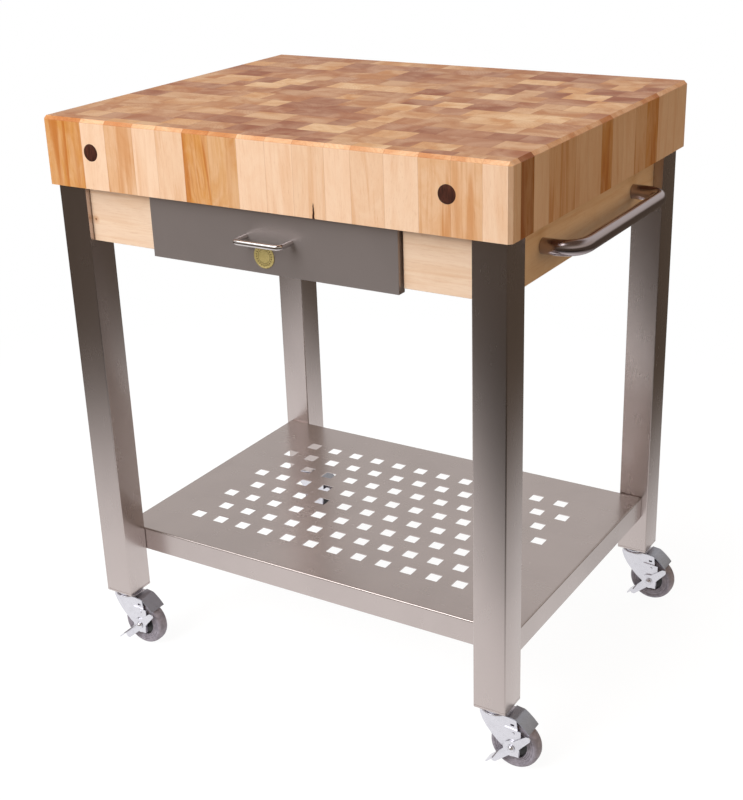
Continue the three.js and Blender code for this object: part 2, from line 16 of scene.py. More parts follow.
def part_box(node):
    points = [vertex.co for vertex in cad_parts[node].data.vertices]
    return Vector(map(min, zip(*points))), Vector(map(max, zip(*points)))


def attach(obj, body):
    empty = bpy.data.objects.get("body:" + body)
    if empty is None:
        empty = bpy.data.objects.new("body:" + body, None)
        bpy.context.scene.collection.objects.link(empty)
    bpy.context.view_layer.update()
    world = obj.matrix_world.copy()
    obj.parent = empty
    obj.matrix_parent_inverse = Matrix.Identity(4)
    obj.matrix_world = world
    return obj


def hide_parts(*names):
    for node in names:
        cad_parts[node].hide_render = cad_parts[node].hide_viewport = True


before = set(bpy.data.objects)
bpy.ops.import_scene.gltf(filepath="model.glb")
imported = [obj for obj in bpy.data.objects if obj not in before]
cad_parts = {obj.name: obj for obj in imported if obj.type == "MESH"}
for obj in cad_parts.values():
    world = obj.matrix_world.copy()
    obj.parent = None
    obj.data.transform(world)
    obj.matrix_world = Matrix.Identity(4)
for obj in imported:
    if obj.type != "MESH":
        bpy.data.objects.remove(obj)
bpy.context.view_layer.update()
MM = 0.001
CORNERS = ("front_left", "front_right", "back_left", "back_right")
X_AXIS = Vector((1, 0, 0))
Y_AXIS = Vector((0, 1, 0))
Z_AXIS = Vector((0, 0, 1))


# ---- camera ------------------------------------------------------------------------------------

CAMERA_PLACE = (1.0804, -1.7589, 1.2665)
SENSOR_WIDTH = 36
LENS_LENGTH = 62.19


def add_camera():
    """The camera stands in front of the cart and to its right, above the block, looking down."""
    azimuth = math.radians(32.30)
    elevation = math.radians(22.55)
    roll = math.radians(-1.98)
    forward = Vector((
        -math.sin(azimuth) * math.cos(elevation),
        math.cos(azimuth) * math.cos(elevation),
        -math.sin(elevation),
    ))
    right = Vector((math.cos(azimuth), math.sin(azimuth), 0))
    up = right.cross(forward)
    rolled_right = math.cos(roll) * right + math.sin(roll) * up
    rolled_up = -math.sin(roll) * right + math.cos(roll) * up
    data = bpy.data.cameras.new("camera")
    data.sensor_width = SENSOR_WIDTH
    data.lens = LENS_LENGTH
    camera = bpy.data.objects.new("camera", data)
    axes = Matrix((rolled_right, rolled_up, -forward)).transposed()
    camera.matrix_world = Matrix.Translation(CAMERA_PLACE) @ axes.to_4x4()
    bpy.context.scene.collection.objects.link(camera)
    bpy.context.scene.camera = camera


# ---- colours and node materials ----------------------------------------------------------------


def linear(code):
    """A colour written as six hex digits, as linear red, green and blue."""
    values = [int(code[i:i + 2], 16) / 255 for i in (0, 2, 4)]
    return tuple(v / 12.92 if v <= 0.04045 else ((v + 0.055) / 1.055) ** 2.4 for v in values)


def opaque(colour):
    return (*colour, 1.0)


class Finish:
    """A node material in the making. Its main shader is self.shader."""

    def __init__(self, name):
        self.material = bpy.data.materials.new(name)
        self.material.use_nodes = True
        self.tree = self.material.node_tree
        self.shader = self.tree.nodes["Principled BSDF"]

    def feed(self, socket, value):
        if isinstance(value, bpy.types.NodeSocket):
            self.tree.links.new(value, socket)
        else:
            socket.default_value = value

    def add(self, kind, inputs=None, **settings):
        node = self.tree.nodes.new("ShaderNode" + kind)
        for key, value in settings.items():
            setattr(node, key, value)
        for socket, value in (inputs or {}).items():
            self.feed(node.inputs[socket], value)
        return node

    def set(self, **values):
        """Shader inputs, with underscores for the spaces in their names."""
        for name, value in values.items():
            self.feed(self.shader.inputs[name.replace("_", " ")], value)

    def place(self):
        return self.add("TexCoord").outputs["Object"]

    def attribute(self, name, output="Vector"):
        return self.add("Attribute", attribute_name=name).outputs[output]

    def sum(self, a, b):
        return self.add("VectorMath", {0: a, 1: b}, operation="ADD").outputs[0]

    def stretched(self, vector, scale):
        return self.add("VectorMath", {0: vector, 1: scale}, operation="MULTIPLY").outputs[0]

    def noise(self, vector, scale, detail=3.0, roughness=0.55, distortion=0.0):
        inputs = {
            "Vector": self.stretched(vector, scale), "Scale": 1.0, "Detail": detail,
            "Roughness": roughness, "Distortion": distortion,
        }
        return self.add("TexNoise", inputs).outputs["Fac"]

    def ranged(self, value, low, high, to_low=0.0, to_high=1.0):
        inputs = {0: value, 1: low, 2: high, 3: to_low, 4: to_high}
        return self.add("MapRange", inputs, interpolation_type="SMOOTHSTEP").outputs[0]

    def math(self, operation, a, b=0.0):
        return self.add("Math", {0: a, 1: b}, operation=operation).outputs[0]

    def mixed(self, share, a, b, blend="MIX"):
        node = self.add("Mix", data_type="RGBA", blend_type=blend)
        self.feed(node.inputs["Factor"], share)
        for socket, value in ((node.inputs[6], a), (node.inputs[7], b)):
            self.feed(socket, opaque(value) if isinstance(value, tuple) and len(value) == 3 else value)
        return node.outputs[2]

    def bump(self, height, strength, distance):
        inputs = {"Height": height, "Strength": strength, "Distance": distance}
        self.set(Normal=self.add("Bump", inputs).outputs["Normal"])


def long_grain(finish, place, tone, figure):
    """Maple cut along its grain, which runs along Z of the place given. Returns colour and height."""
    band = finish.noise(place, (62, 62, 3.0), detail=2.0, distortion=0.5)
    streak = finish.noise(place, (330, 330, 9), detail=4.0, distortion=0.5)
    pore = finish.noise(place, (1500, 1500, 60), detail=2.0)
    flame = finish.noise(place, (26, 26, 9), detail=5.0, roughness=0.65, distortion=2.2)
    deep = finish.mixed(1.0, tone, linear("e2bb80"), "MULTIPLY")
    pale = finish.mixed(0.28, tone, linear("ffeed8"))
    base = finish.mixed(finish.ranged(flame, 0.35, 0.65, 0.6, 0.0), tone, pale)
    warm = finish.mixed(finish.math("MULTIPLY", finish.ranged(band, 0.50, 0.66), figure), base, deep)
    share = finish.math("ADD", figure, 0.15)
    fine = finish.math("MULTIPLY", finish.ranged(streak, 0.48, 0.76, 0.0, 0.55), share)
    lined = finish.mixed(fine, warm, deep)
    fleck = finish.mixed(1.0, lined, linear("cfae8d"), "MULTIPLY")
    colour = finish.mixed(finish.ranged(pore, 0.56, 0.78, 0.0, 0.34), lined, fleck)
    return colour, finish.math("ADD", finish.math("MULTIPLY", streak, 0.6), pore)


def leaning(finish, place, lean):
    """The place sheared by the stave's lean, so that its grain runs slightly off the vertical."""
    parts = finish.add("SeparateXYZ", {0: finish.place()})
    shift = finish.math("MULTIPLY", parts.outputs[2], lean)
    return finish.sum(place, finish.add("CombineXYZ", {0: shift, 1: shift}).outputs[0])


def joint_line(finish):
    """1 on the thin glue line round each stave and 0 elsewhere."""
    nearest = None
    for layer in ("from_low", "from_high"):
        uv = finish.add("UVMap", uv_map=layer).outputs[0]
        parts = finish.add("SeparateXYZ", {0: uv})
        for part in (parts.outputs[0], parts.outputs[1]):
            nearest = part if nearest is None else finish.math("MINIMUM", nearest, part)
    return finish.ranged(nearest, 0.15 * MM, 0.65 * MM, 1.0, 0.0)


def block_side_finish():
    finish = Finish("maple_long_grain")
    figure, lean, _ = finish.add("SeparateXYZ", {0: finish.attribute("figure")}).outputs
    place = leaning(finish, finish.sum(finish.place(), finish.attribute("heart")), lean)
    colour, height = long_grain(finish, place, finish.attribute("tone", "Color"), figure)
    line = finish.mixed(1.0, colour, linear("b98d62"), "MULTIPLY")
    joined = finish.mixed(finish.math("MULTIPLY", joint_line(finish), 0.28), colour, line)
    check = crack(finish)
    finish.set(Base_Color=finish.mixed(check, joined, linear("3a1c0e")), Roughness=0.46)
    finish.shader.inputs["Specular IOR Level"].default_value = 0.4
    finish.bump(height, 0.12, 0.2 * MM)
    return finish.material


CRACK_FROM_LEFT = 474 * MM
CRACK_HALF_WIDTH = 2.1 * MM
CRACK_NARROWING = 0.05
CRACK_FADES = (17 * MM, 23 * MM)


def crack(finish):
    """A short drying crack that rises from the lower edge of the block's front."""
    lo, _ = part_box("butcher_block")
    parts = finish.add("SeparateXYZ", {0: finish.place()})
    wander = finish.noise(finish.place(), (60, 60, 160), detail=2.0)
    x = finish.math("ADD", parts.outputs[0], finish.math("MULTIPLY", wander, 2.5 * MM))
    aside = finish.math("ABSOLUTE", finish.math("SUBTRACT", x, lo.x + CRACK_FROM_LEFT))
    above = finish.math("SUBTRACT", parts.outputs[2], lo.z)
    narrowing = finish.math("SUBTRACT", CRACK_HALF_WIDTH, finish.math("MULTIPLY", above, CRACK_NARROWING))
    inside = finish.ranged(finish.math("SUBTRACT", narrowing, aside), 0.0, 0.4 * MM)
    low = finish.ranged(above, *CRACK_FADES, 1.0, 0.0)
    front = finish.ranged(parts.outputs[1], lo.y + 2 * MM, lo.y + 3 * MM, 1.0, 0.0)
    return finish.math("MULTIPLY", finish.math("MULTIPLY", inside, low), front)


def block_end_finish():
    """End grain: growth rings as arcs about each stave's heart, with fine pores and rays."""
    finish = Finish("maple_end_grain")
    spot = finish.place()
    place = finish.sum(spot, finish.attribute("heart"))
    tone = finish.attribute("tone", "Color")
    blot = finish.noise(place, (17, 17, 17), detail=3.0, distortion=0.8)
    rings = finish.add("TexWave", {
        "Vector": place, "Scale": 62.0, "Distortion": 3.2, "Detail": 3.0,
        "Detail Scale": 2.0, "Detail Roughness": 0.6,
    }, wave_type="RINGS", rings_direction="Z").outputs["Fac"]
    pore = finish.noise(spot, (1300, 1300, 1300), detail=2.0)
    speck = finish.noise(spot, (420, 420, 420), detail=3.0)
    deep = finish.mixed(1.0, tone, linear("e9cfb5"), "MULTIPLY")
    pale = finish.mixed(0.18, tone, linear("e6c49a"))
    blotted = finish.mixed(finish.ranged(blot, 0.30, 0.70), pale, deep)
    ringed = finish.mixed(finish.ranged(rings, 0.45, 1.0, 0.0, 0.30), blotted, deep)
    fine = finish.mixed(1.0, ringed, linear("cfa88a"), "MULTIPLY")
    specked = finish.mixed(finish.ranged(speck, 0.50, 0.78, 0.0, 0.45), ringed, fine)
    pored = finish.mixed(finish.ranged(pore, 0.58, 0.80, 0.0, 0.5), specked, fine)
    line = finish.mixed(1.0, pored, linear("bd9271"), "MULTIPLY")
    share = finish.math("MULTIPLY", joint_line(finish), 0.35)
    finish.set(Base_Color=finish.mixed(share, pored, line))
    finish.set(Roughness=finish.ranged(blot, 0.3, 0.7, 0.40, 0.52))
    finish.shader.inputs["Specular IOR Level"].default_value = 0.4
    finish.bump(finish.math("ADD", pore, speck), 0.10, 0.2 * MM)
    return finish.material


def apron_finish(name, code, along_x):
    """A pale maple board, with its grain along X or along Y."""
    finish = Finish(name)
    turn = (0, math.pi / 2, 0) if along_x else (math.pi / 2, 0, 0)
    place = finish.add("Mapping", {"Vector": finish.place(), "Rotation": turn}).outputs[0]
    base = finish.add("RGB")
    base.outputs[0].default_value = opaque(linear(code))
    colour, height = long_grain(finish, place, base.outputs[0], 0.22)
    finish.set(Base_Color=knotted(finish, colour) if along_x else colour, Roughness=0.5)
    finish.shader.inputs["Specular IOR Level"].default_value = 0.35
    finish.bump(height, 0.1, 0.2 * MM)
    return finish.material


def knotted(finish, colour):
    """The colour with one small pin knot, low on the left front board."""
    lo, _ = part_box("front_apron_left")
    knot = (lo.x + 7 * MM, lo.y, lo.z + 33 * MM)
    away = finish.add("VectorMath", {0: finish.place(), 1: knot}, operation="DISTANCE").outputs["Value"]
    halo = finish.mixed(finish.ranged(away, 2 * MM, 9 * MM, 0.5, 0.0), colour, linear("c98c55"))
    return finish.mixed(finish.ranged(away, 0.8 * MM, 2.4 * MM, 0.9, 0.0), halo, linear("7a4322"))


def walnut_finish():
    finish = Finish("walnut_plug")
    place = finish.place()
    streak = finish.noise(place, (900, 60, 90), detail=3.0, distortion=0.7)
    pore = finish.noise(place, (2400, 200, 300), detail=2.0)
    colour = finish.mixed(finish.ranged(streak, 0.35, 0.7), linear("2e130b"), linear("5a3022"))
    dark = finish.mixed(finish.ranged(pore, 0.55, 0.75, 0.0, 0.5), colour, linear("1c0b06"))
    finish.set(Base_Color=dark, Roughness=0.5)
    finish.bump(pore, 0.15, 0.2 * MM)
    return finish.material


def steel_finish(name, code, roughness, brushed, wear=0.3, metal=1.0):
    """Stainless sheet or tube. Brushed gives the noise's fineness along X, Y and Z."""
    finish = Finish(name)
    place = finish.place()
    brush = finish.noise(place, brushed, detail=3.0)
    cloud = finish.noise(place, (9, 9, 6), detail=3.0, distortion=0.5)
    smear = finish.noise(place, (38, 38, 22), detail=4.0)
    tint = linear(code)
    dull = tuple(v * 0.82 for v in tint)
    base = finish.mixed(finish.ranged(cloud, 0.35, 0.7, 0.0, wear), tint, dull)
    lined = finish.mixed(finish.ranged(brush, 0.35, 0.75, 0.0, 0.06), base, dull)
    finish.set(Base_Color=lined, Metallic=metal)
    spread = finish.math("MULTIPLY", finish.math("SUBTRACT", smear, 0.5), 0.02)
    grain = finish.math("MULTIPLY", finish.math("SUBTRACT", brush, 0.5), 0.012)
    finish.set(Roughness=finish.math("ADD", finish.math("ADD", spread, grain), roughness))
    finish.bump(brush, 0.003, 0.1 * MM)
    return finish.material


def plated_finish(name, code, roughness):
    """Bright plating on pressed sheet: slightly uneven, with small dull patches."""
    finish = Finish(name)
    place = finish.place()
    cloud = finish.noise(place, (110, 110, 110), detail=3.0, distortion=0.4)
    scratch = finish.noise(place, (700, 1600, 700), detail=3.0)
    tint = linear(code)
    dull = tuple(v * 0.8 for v in tint)
    finish.set(Base_Color=finish.mixed(finish.ranged(cloud, 0.4, 0.75, 0.0, 0.35), tint, dull))
    finish.set(Metallic=1.0, Roughness=finish.ranged(scratch, 0.3, 0.75, roughness - 0.05, roughness + 0.1))
    finish.bump(cloud, 0.03, 0.3 * MM)
    return finish.material


def rubber_finish():
    finish = Finish("grey_rubber")
    place = finish.place()
    dust = finish.noise(place, (130, 130, 130), detail=4.0)
    grain = finish.noise(place, (1800, 1800, 1800), detail=2.0)
    colour = finish.mixed(finish.ranged(dust, 0.35, 0.7), linear("7b757e"), linear("938d97"))
    finish.set(Base_Color=colour, Roughness=finish.ranged(dust, 0.3, 0.7, 0.55, 0.75))
    finish.bump(grain, 0.12, 0.2 * MM)
    return finish.material


def plastic_finish():
    finish = Finish("black_plastic")
    grain = finish.noise(finish.place(), (900, 900, 900), detail=2.0)
    finish.set(Base_Color=finish.mixed(grain, linear("121012"), linear("2a272a")), Roughness=0.45)
    finish.bump(grain, 0.1, 0.2 * MM)
    return finish.material


def gilt_finish():
    """A gold foil disc with printed rings and a plain ring of dots."""
    finish = Finish("gilt_foil")
    lo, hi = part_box("drawer_badge")
    centre = (lo + hi) / 2
    around = finish.add("VectorMath", {0: finish.place(), 1: tuple(centre)}, operation="SUBTRACT").outputs[0]
    parts = finish.add("SeparateXYZ", {0: around})
    radius = finish.math("SQRT", finish.math(
        "ADD", finish.math("POWER", parts.outputs[0], 2.0), finish.math("POWER", parts.outputs[2], 2.0)))
    angle = finish.math("ARCTAN2", parts.outputs[2], parts.outputs[0])
    teeth = finish.ranged(finish.math("SINE", finish.math("MULTIPLY", angle, 22.0)), 0.1, 0.5)
    band = finish.math(
        "MULTIPLY",
        finish.ranged(radius, 11.2 * MM, 11.6 * MM),
        finish.ranged(radius, 13.4 * MM, 13.8 * MM, 1.0, 0.0),
    )
    ring = finish.math(
        "MULTIPLY",
        finish.ranged(radius, 9.4 * MM, 9.7 * MM),
        finish.ranged(radius, 10.1 * MM, 10.4 * MM, 1.0, 0.0),
    )
    ink = finish.math("MAXIMUM", finish.math("MULTIPLY", band, teeth), ring)
    grain = finish.noise(finish.place(), (700, 700, 700), detail=3.0)
    foil = finish.mixed(finish.ranged(grain, 0.35, 0.7), linear("d2c184"), linear("b3a264"))
    finish.set(Base_Color=finish.mixed(finish.math("MULTIPLY", ink, 0.8), foil, linear("4c3214")))
    finish.set(Metallic=0.35, Roughness=0.42)
    finish.bump(ink, 0.2, 0.1 * MM)
    return finish.material


# ---- mesh helpers ------------------------------------------------------------------------------


def finish_piece(name, bm, materials, body, nodes, edge=0.0, segments=2, angle=30):
    """Turns a bmesh into a shown piece that rides on a body and stands for CAD nodes."""
    bmesh.ops.recalc_face_normals(bm, faces=bm.faces[:])
    for face in bm.faces:
        face.smooth = True
    mesh = bpy.data.meshes.new(name)
    bm.to_mesh(mesh)
    bm.free()
    if "custom_normal" in mesh.attributes:
        mesh.attributes.remove(mesh.attributes["custom_normal"])
    mesh.set_sharp_from_angle(angle=math.radians(angle))
    for material in materials:
        mesh.materials.append(material)
    piece = bpy.data.objects.new(name, mesh)
    bpy.context.scene.collection.objects.link(piece)
    if edge:
        soften(piece, edge, segments, angle)
    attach(piece, body)
    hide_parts(*nodes)
    return piece


def soften(piece, width, segments=2, angle=30):
    """Small round edges, such as a folded sheet or a sanded board has."""
    bevel = piece.modifiers.new("soft_edges", "BEVEL")
    bevel.width = width
    bevel.segments = segments
    bevel.limit_method = "ANGLE"
    bevel.angle_limit = math.radians(angle)
    bevel.harden_normals = True
    bevel.use_clamp_overlap = True


def weigh_normals(piece):
    """Keeps large flat faces flat where they meet small rounded ones."""
    weighted = piece.modifiers.new("flat_faces", "WEIGHTED_NORMAL")
    weighted.keep_sharp = True
    weighted.weight = 100


def shaped(source):
    """The mesh that an object's modifiers make of it. The object is removed."""
    depsgraph = bpy.context.evaluated_depsgraph_get()
    result = bpy.data.meshes.new_from_object(source.evaluated_get(depsgraph))
    bpy.data.objects.remove(source)
    return result


def rings_to_mesh(bm, rings, closed_along=False, caps=True):
    """Joins rings of points, all with as many points, into a skin."""
    made = [[bm.verts.new(point) for point in ring] for ring in rings]
    count = len(made[0])
    pairs = list(zip(made, made[1:]))
    if closed_along:
        pairs.append((made[-1], made[0]))
    for one, two in pairs:
        for i in range(count):
            j = (i + 1) % count
            bm.faces.new((one[i], one[j], two[j], two[i]))
    if caps and not closed_along:
        bm.faces.new(made[0][::-1])
        bm.faces.new(made[-1])
    return made


def turned(bm, centre, axis, profile, sides=64, closed=False):
    """A turned piece. The profile lists (radius, distance along the axis) in order."""
    across = Z_AXIS if abs(axis.z) < 0.5 else X_AXIS
    other = axis.cross(across)
    rings = []
    for radius, along in profile:
        middle = centre + axis * along
        rings.append([
            middle + radius * (across * math.cos(turn) + other * math.sin(turn))
            for turn in (2 * math.pi * i / sides for i in range(sides))
        ])
    rings_to_mesh(bm, rings, closed_along=closed)


def tube(bm, path, radius, side, sides=32, hollow=0.0):
    """A round bar or pipe along a path in one plane. side is the plane's normal."""
    rings = []
    for i, point in enumerate(path):
        ahead = path[min(i + 1, len(path) - 1)] - path[max(i - 1, 0)]
        out = ahead.normalized().cross(side)
        rings.append([
            point + radius * (side * math.cos(turn) + out * math.sin(turn))
            for turn in (2 * math.pi * k / sides for k in range(sides))
        ])
    if not hollow:
        rings_to_mesh(bm, rings)
        return
    inner = []
    for ring, point in zip(rings, path):
        inner.append([point + (p - point) * (1 - hollow / radius) for p in ring])
    rings_to_mesh(bm, rings + inner[::-1], closed_along=True)


def bridge_path(foot, along, out, spacing, reach, bend, steps=14):
    """Out from one foot, round a bend, along, round a second bend and back to the other foot."""

    def at(a, o):
        return foot + along * a + out * o

    def corner(start, middle, end):
        for i in range(steps + 1):
            t = i / steps
            yield (1 - t) ** 2 * start + 2 * t * (1 - t) * middle + t * t * end

    half = spacing / 2
    first = corner(at(-half, reach - bend), at(-half, reach), at(-half + bend, reach))
    second = corner(at(half - bend, reach), at(half, reach), at(half, reach - bend))
    return [at(-half, 0), *first, *second, at(half, 0)]


def rounded_rectangle(x0, x1, y0, y1, radius, steps=5):
    """Points round a rectangle whose corners are arcs, anticlockwise."""
    points = []
    centres = ((x1 - radius, y1 - radius), (x0 + radius, y1 - radius),
               (x0 + radius, y0 + radius), (x1 - radius, y0 + radius))
    for quarter, (cx, cy) in enumerate(centres):
        for i in range(steps + 1):
            turn = math.pi / 2 * (quarter + i / steps)
            points.append((cx + radius * math.cos(turn), cy + radius * math.sin(turn)))
    return points


def merged(node):
    """A copy of a CAD node's mesh, with the triangles of each flat face merged."""
    bm = bmesh.new()
    bm.from_mesh(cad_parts[node].data)
    bmesh.ops.remove_doubles(bm, verts=bm.verts[:], dist=0.01 * MM)
    bmesh.ops.dissolve_limit(
        bm, angle_limit=math.radians(0.5), verts=bm.verts[:], edges=bm.edges[:],
        use_dissolve_boundaries=False)
    return bm


def refined(node, material, body, edge, segments=2, angle=30):
    """A copy of a CAD node with its flat faces merged and its edges rounded."""
    return finish_piece(
        f"{node}_finished", merged(node), [material], body, [node], edge, segments, angle)


# ---- the block ---------------------------------------------------------------------------------

BLOCK_CHAMFER = 5 * MM
PLUG_FIT = 0.35 * MM

PALE = linear("efcbac")
CREAM = linear("e9c2a0")
STRAW = linear("e0b288")
TAN = linear("d8a573")
HONEY = linear("d6a26c")
AMBER = linear("d29552")
RUST = linear("aa6b24")
# How strongly a stave of each tone shows its figure.
FIGURE = {PALE: 0.22, CREAM: 0.35, STRAW: 0.6, TAN: 0.55, HONEY: 0.5, AMBER: 0.8, RUST: 0.8}

# Widths of the front row's staves from left to right, in millimetres, with their tones.
FRONT_STAVES = (
    (73, AMBER), (45.5, PALE), (51.5, STRAW), (42, PALE), (48, CREAM), (44.5, AMBER), (47.5, HONEY),
    (46.5, PALE), (44, PALE), (50, CREAM), (40, PALE), (50, CREAM), (50, PALE), (46, STRAW), (44, STRAW),
)
# Depths of the rows from front to back, with the tones of their right-hand ends. The last of each
# list takes what is left.
ROWS = (
    (25.4, PALE), (37, RUST), (44, PALE), (41.5, STRAW), (41, STRAW), (41, CREAM), (44.5, CREAM),
    (38.5, AMBER), (38.5, CREAM), (45, PALE), (44, STRAW), (46.5, AMBER), (40, PALE), (41, PALE),
)
LAST_FRONT_TONE = PALE
LAST_ROW_TONE = PALE
SIDE_TONES = (PALE, CREAM, STRAW, CREAM, TAN, HONEY, AMBER, PALE)
END_TONES = (
    linear("d3b087"), linear("c39a72"), linear("bb9069"), linear("b1825e"), linear("a57354"),
    linear("976143"), linear("cba47a"), linear("b78b65"), linear("ab7c59"),
)
MOST_LEAN = 0.09
# A chamfer cuts across the grain, and such a cut looks deeper than the stave's side.
CHAMFER_DEEPER = (0.88, 0.79, 0.66)
SHORTEST_STAVE = 30 * MM
LONGEST_STAVE = 76 * MM


def edges_of(start, end, sizes):
    """Boundaries from start to end, one after each size in millimetres."""
    edges = [start]
    for size in sizes:
        edges.append(edges[-1] + size * MM)
    return [*edges, end]


def stave_edges(rng, start, end):
    edges = [start]
    while end - edges[-1] > LONGEST_STAVE * 1.4:
        edges.append(edges[-1] + rng.uniform(SHORTEST_STAVE, LONGEST_STAVE))
    if end - edges[-1] > LONGEST_STAVE:
        edges.append((edges[-1] + end) / 2)
    return [*edges, end]


def stave_plan():
    """The rows of staves: for each row its two Y values and its staves."""
    lo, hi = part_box("butcher_block")
    rng = random.Random(21)
    ys = edges_of(lo.y, hi.y, [depth for depth, _ in ROWS])
    right_tones = [tone for _, tone in ROWS] + [LAST_ROW_TONE]
    rows = []
    for row, (y0, y1) in enumerate(zip(ys, ys[1:])):
        if row == 0:
            xs = edges_of(lo.x, hi.x, [width for width, _ in FRONT_STAVES])
            tones = [tone for _, tone in FRONT_STAVES] + [LAST_FRONT_TONE]
        else:
            xs = stave_edges(rng, lo.x, hi.x)
            tones = [rng.choice(SIDE_TONES) for _ in xs[1:]]
            tones[-1] = right_tones[row]
        staves = []
        for x0, x1, tone in zip(xs, xs[1:], tones):
            dark = tone in (AMBER, HONEY, RUST)
            end_tone = rng.choice(END_TONES[3:6] if dark else END_TONES)
            heart = Vector((rng.uniform(-9, 9), rng.uniform(-9, 9), rng.uniform(-9, 9)))
            pith = Vector((rng.uniform(-0.09, 0.09), rng.choice((-1, 1)) * rng.uniform(0.03, 0.12), heart.z))
            middle = Vector(((x0 + x1) / 2, (y0 + y1) / 2, 0))
            figure = Vector((FIGURE[tone] * rng.uniform(0.7, 1.2), rng.uniform(-MOST_LEAN, MOST_LEAN), 0))
            staves.append((x0, x1, tone, end_tone, heart, pith - middle, figure))
        rows.append((y0, y1, staves))
    return rows


def slice_at(bm, faces, point, normal):
    geometry = set(faces)
    for face in faces:
        geometry.update(face.edges)
        geometry.update(face.verts)
    bmesh.ops.bisect_plane(bm, geom=list(geometry), plane_co=point, plane_no=normal, dist=1e-7)


def chamfered_block():
    lo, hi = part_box("butcher_block")
    bm = bmesh.new()
    bmesh.ops.create_cube(bm, size=1.0)
    for vert in bm.verts:
        vert.co = Vector((
            hi.x if vert.co.x > 0 else lo.x,
            hi.y if vert.co.y > 0 else lo.y,
            hi.z if vert.co.z > 0 else lo.z,
        ))
    middle = (lo.z + hi.z) / 2
    edges = [e for e in bm.edges if any(v.co.z > middle for v in e.verts)]
    bmesh.ops.bevel(bm, geom=edges, offset=BLOCK_CHAMFER, segments=1, affect="EDGES", profile=0.5)
    return bm


def stave_at(rows, point):
    for y0, y1, staves in rows:
        if y0 <= point.y <= y1:
            for stave in staves:
                if stave[0] <= point.x <= stave[1]:
                    return y0, y1, stave
    return rows[-1][0], rows[-1][1], rows[-1][2][-1]


def paint_staves(bm, rows):
    """Writes each stave's tone, heart and distances to its joints on its faces."""
    tone_layer = bm.faces.layers.float_vector.new("tone")
    heart_layer = bm.faces.layers.float_vector.new("heart")
    figure_layer = bm.faces.layers.float_vector.new("figure")
    low_layer = bm.loops.layers.uv.new("from_low")
    high_layer = bm.loops.layers.uv.new("from_high")
    for face in bm.faces:
        centre = face.calc_center_median()
        y0, y1, (x0, x1, tone, end_tone, heart, pith, figure) = stave_at(rows, centre)
        up = face.normal.z
        is_end = abs(up) > 0.5
        chamfer = 0.5 < up < 0.9
        face.material_index = 1 if is_end else 0
        deeper = [part * share for part, share in zip(tone, CHAMFER_DEEPER)]
        face[tone_layer] = Vector(deeper if chamfer else end_tone if is_end else tone)
        face[heart_layer] = pith if is_end else heart
        face[figure_layer] = figure
        far = 50 * MM
        for loop in face.loops:
            co = loop.vert.co
            across_x = is_end or abs(face.normal.y) > 0.5
            across_y = is_end or abs(face.normal.x) > 0.5
            loop[low_layer].uv = (co.x - x0 if across_x else far, co.y - y0 if across_y else far)
            loop[high_layer].uv = (x1 - co.x if across_x else far, y1 - co.y if across_y else far)


def bored(mesh, cutters):
    """The mesh with bores taken out of it."""
    block = bpy.data.objects.new("bored", mesh)
    bpy.context.scene.collection.objects.link(block)
    for cutter in cutters:
        boolean = block.modifiers.new("bore", "BOOLEAN")
        boolean.object = cutter
        boolean.solver = "EXACT"
    result = shaped(block)
    for cutter in cutters:
        bpy.data.objects.remove(cutter)
    return result


def bore_cutter(node):
    lo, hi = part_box(node)
    centre = (lo + hi) / 2
    half = (hi.y - lo.y) / 2
    bm = bmesh.new()
    radius = (hi.z - lo.z) / 2 + PLUG_FIT
    turned(bm, centre, Y_AXIS, [(radius, -half - 0.5 * MM), (radius, half + 0.5 * MM)], sides=48)
    bmesh.ops.recalc_face_normals(bm, faces=bm.faces[:])
    mesh = bpy.data.meshes.new("cutter")
    bm.to_mesh(mesh)
    bm.free()
    cutter = bpy.data.objects.new("cutter", mesh)
    bpy.context.scene.collection.objects.link(cutter)
    cutter.hide_render = True
    return cutter


PLUGS = [f"{end}_plug_{side}" for end in ("front", "back") for side in ("left", "right")]


def build_block(side_material, end_material):
    rows = stave_plan()
    bm = chamfered_block()
    for y0, _, _ in rows[1:]:
        slice_at(bm, bm.faces[:], (0, y0, 0), Y_AXIS)
    for y0, y1, staves in rows:
        for x0, *_ in staves[1:]:
            faces = [f for f in bm.faces if y0 - MM / 10 < f.calc_center_median().y < y1 + MM / 10]
            slice_at(bm, faces, (x0, 0, 0), X_AXIS)
    bm.normal_update()
    paint_staves(bm, rows)
    mesh = bpy.data.meshes.new("end_grain_block")
    bm.to_mesh(mesh)
    bm.free()
    result = bored(mesh, [bore_cutter(node) for node in PLUGS])
    solid = bmesh.new()
    solid.from_mesh(result)
    finish_piece(
        "end_grain_block", solid, [side_material, end_material], "cart_frame", ["butcher_block"])


def build_plug(node, material):
    lo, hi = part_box(node)
    centre = (lo + hi) / 2
    half = (hi.y - lo.y) / 2
    radius = (hi.z - lo.z) / 2 + 0.1 * MM
    outward = Y_AXIS if "back" in node else -Y_AXIS
    rim = 0.5 * MM
    profile = [
        (radius * 0.02, -half), (radius, -half), (radius, half - rim), (radius - rim * 0.4, half - rim * 0.3),
        (radius - rim, half - 0.05 * MM), (radius * 0.5, half), (radius * 0.02, half),
    ]
    bm = bmesh.new()
    turned(bm, centre, outward, profile)
    finish_piece(f"{node}_turned", bm, [material], "cart_frame", [node])


# ---- legs, aprons and drawer -------------------------------------------------------------------

LEG_CORNER = 2.0 * MM
LEG_WALL = 1.6 * MM
LEG_PLATE = 3 * MM
STEM_HOLE = 5.3 * MM


